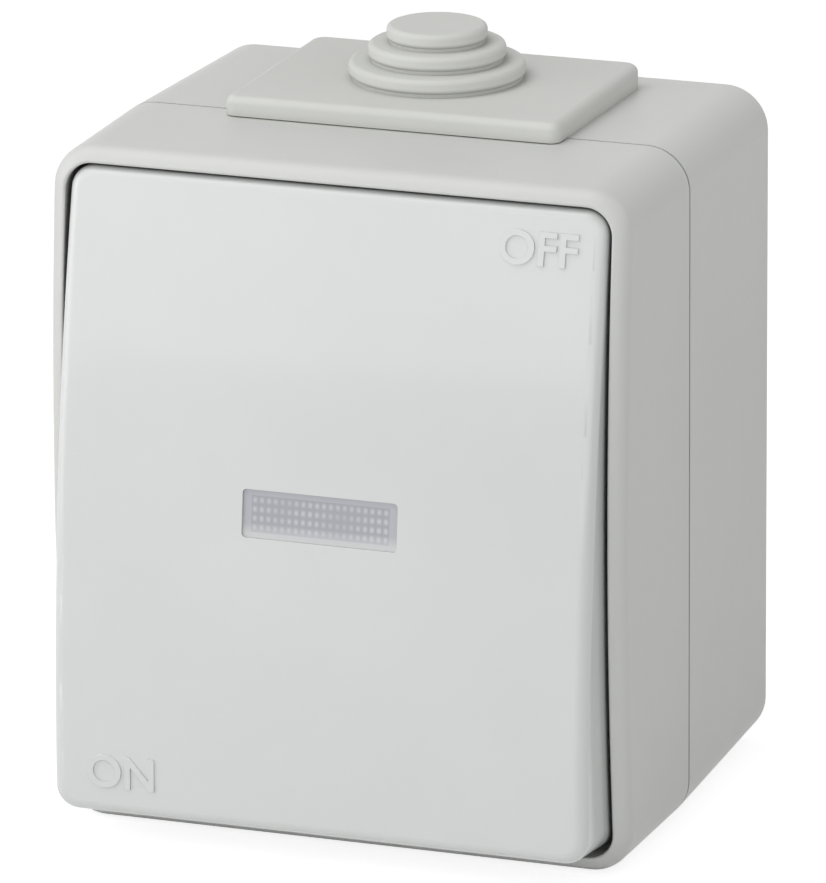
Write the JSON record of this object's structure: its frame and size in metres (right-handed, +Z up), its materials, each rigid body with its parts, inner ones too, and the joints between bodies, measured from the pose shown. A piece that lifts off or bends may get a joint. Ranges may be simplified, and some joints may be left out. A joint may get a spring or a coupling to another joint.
{
  "type": "weatherproof rocker switch",
  "caption": "Surface-mounted weatherproof light switch: two-part plastic case, large arched rocker with indicator window, sealed rocker drive and a stepped cable entry on top.",
  "frame": {"origin": "middle of the flat back face that goes against the wall", "axes": "+X to the right seen from the front, -Y out of the wall towards the user, +Z up to the cable entry"},
  "size_m": [0.0672, 0.0574, 0.0859],
  "materials": {
    "case_plastic": "fine satin texture, light grey moulded plastic",
    "rocker_plastic": "satin gloss, very light cool grey",
    "entry_rubber": "matt light grey thermoplastic elastomer",
    "lens_plastic": "translucent bluish grey with a prismatic pattern",
    "seal_rubber": "translucent silicone",
    "gasket_rubber": "matt dark elastomer",
    "screw_steel": "zinc-plated steel",
    "spring_steel": "drawn spring wire",
    "terminal_brass": "stamped brass",
    "contact_silver": "silver alloy",
    "mechanism_plastic": "matt off-white moulded insulator",
    "toggle_plastic": "smooth white moulded plastic",
    "lamp_clear": "clear lamp dome",
    "board_laminate": "tan circuit laminate",
    "resistor_lacquer": "beige lacquer",
    "lead_insulation": "grey wire insulation"
  },
  "bodies": {
    "housing": {"back_box": "case_plastic", "front_cover": "case_plastic", "cover_gasket": "gasket_rubber", "cable_entry": "entry_rubber", "cover_screws": "screw_steel", "cover_screw_seals": "gasket_rubber", "actuator_seal": "seal_rubber", "seal_retainer": "mechanism_plastic", "switch_base": "mechanism_plastic", "switch_lid": "mechanism_plastic", "mechanism_screws": "screw_steel", "common_terminal": "terminal_brass", "switched_terminal": "terminal_brass", "terminal_clamps": "terminal_brass", "terminal_screws": "screw_steel", "fixed_contact": "contact_silver", "toggle_axle": "screw_steel", "lamp_board": "board_laminate", "indicator_lamp": "lamp_clear", "lamp_resistor": "resistor_lacquer", "lamp_leads": "lead_insulation"},
    "rocker": {"rocker": "rocker_plastic", "indicator_lens": "lens_plastic"},
    "toggle": {"toggle_lever": "toggle_plastic", "drive_spring": "spring_steel"},
    "plunger": {"contact_plunger": "toggle_plastic"},
    "contact": {"contact_bridge": "terminal_brass", "moving_contact": "contact_silver"}
  },
  "joints": [
    {"name": "rocker_tilt", "type": "hinge", "parent": "housing", "child": "rocker", "pos_m": [0, -0.0459, 0], "axis": [1, 0, 0], "range_deg": [0, 13], "deforming": ["actuator_seal"]},
    {"name": "toggle_swing", "type": "hinge", "parent": "housing", "child": "toggle", "pos_m": [0, -0.025, 0], "axis": [1, 0, 0], "range_deg": [-16.9, 0]},
    {"name": "plunger_slide", "type": "slide", "parent": "toggle", "child": "plunger", "axis": [0, -0.9892, -0.1468], "range_m": [0, 0.0005], "stiffness_N_per_m": 200, "springref_m": -0.005, "deforming": ["drive_spring"]},
    {"name": "contact_swing", "type": "hinge", "parent": "housing", "child": "contact", "pos_m": [0, -0.011, 0], "axis": [1, 0, 0], "range_deg": [0, 16.1]}
  ],
  "couplings": [
    {"joint": "toggle_swing", "follows": "rocker_tilt", "ratio": -1.2988},
    {"joint": "contact_swing", "follows": "rocker_tilt", "ratio": 1.2308}
  ]
}
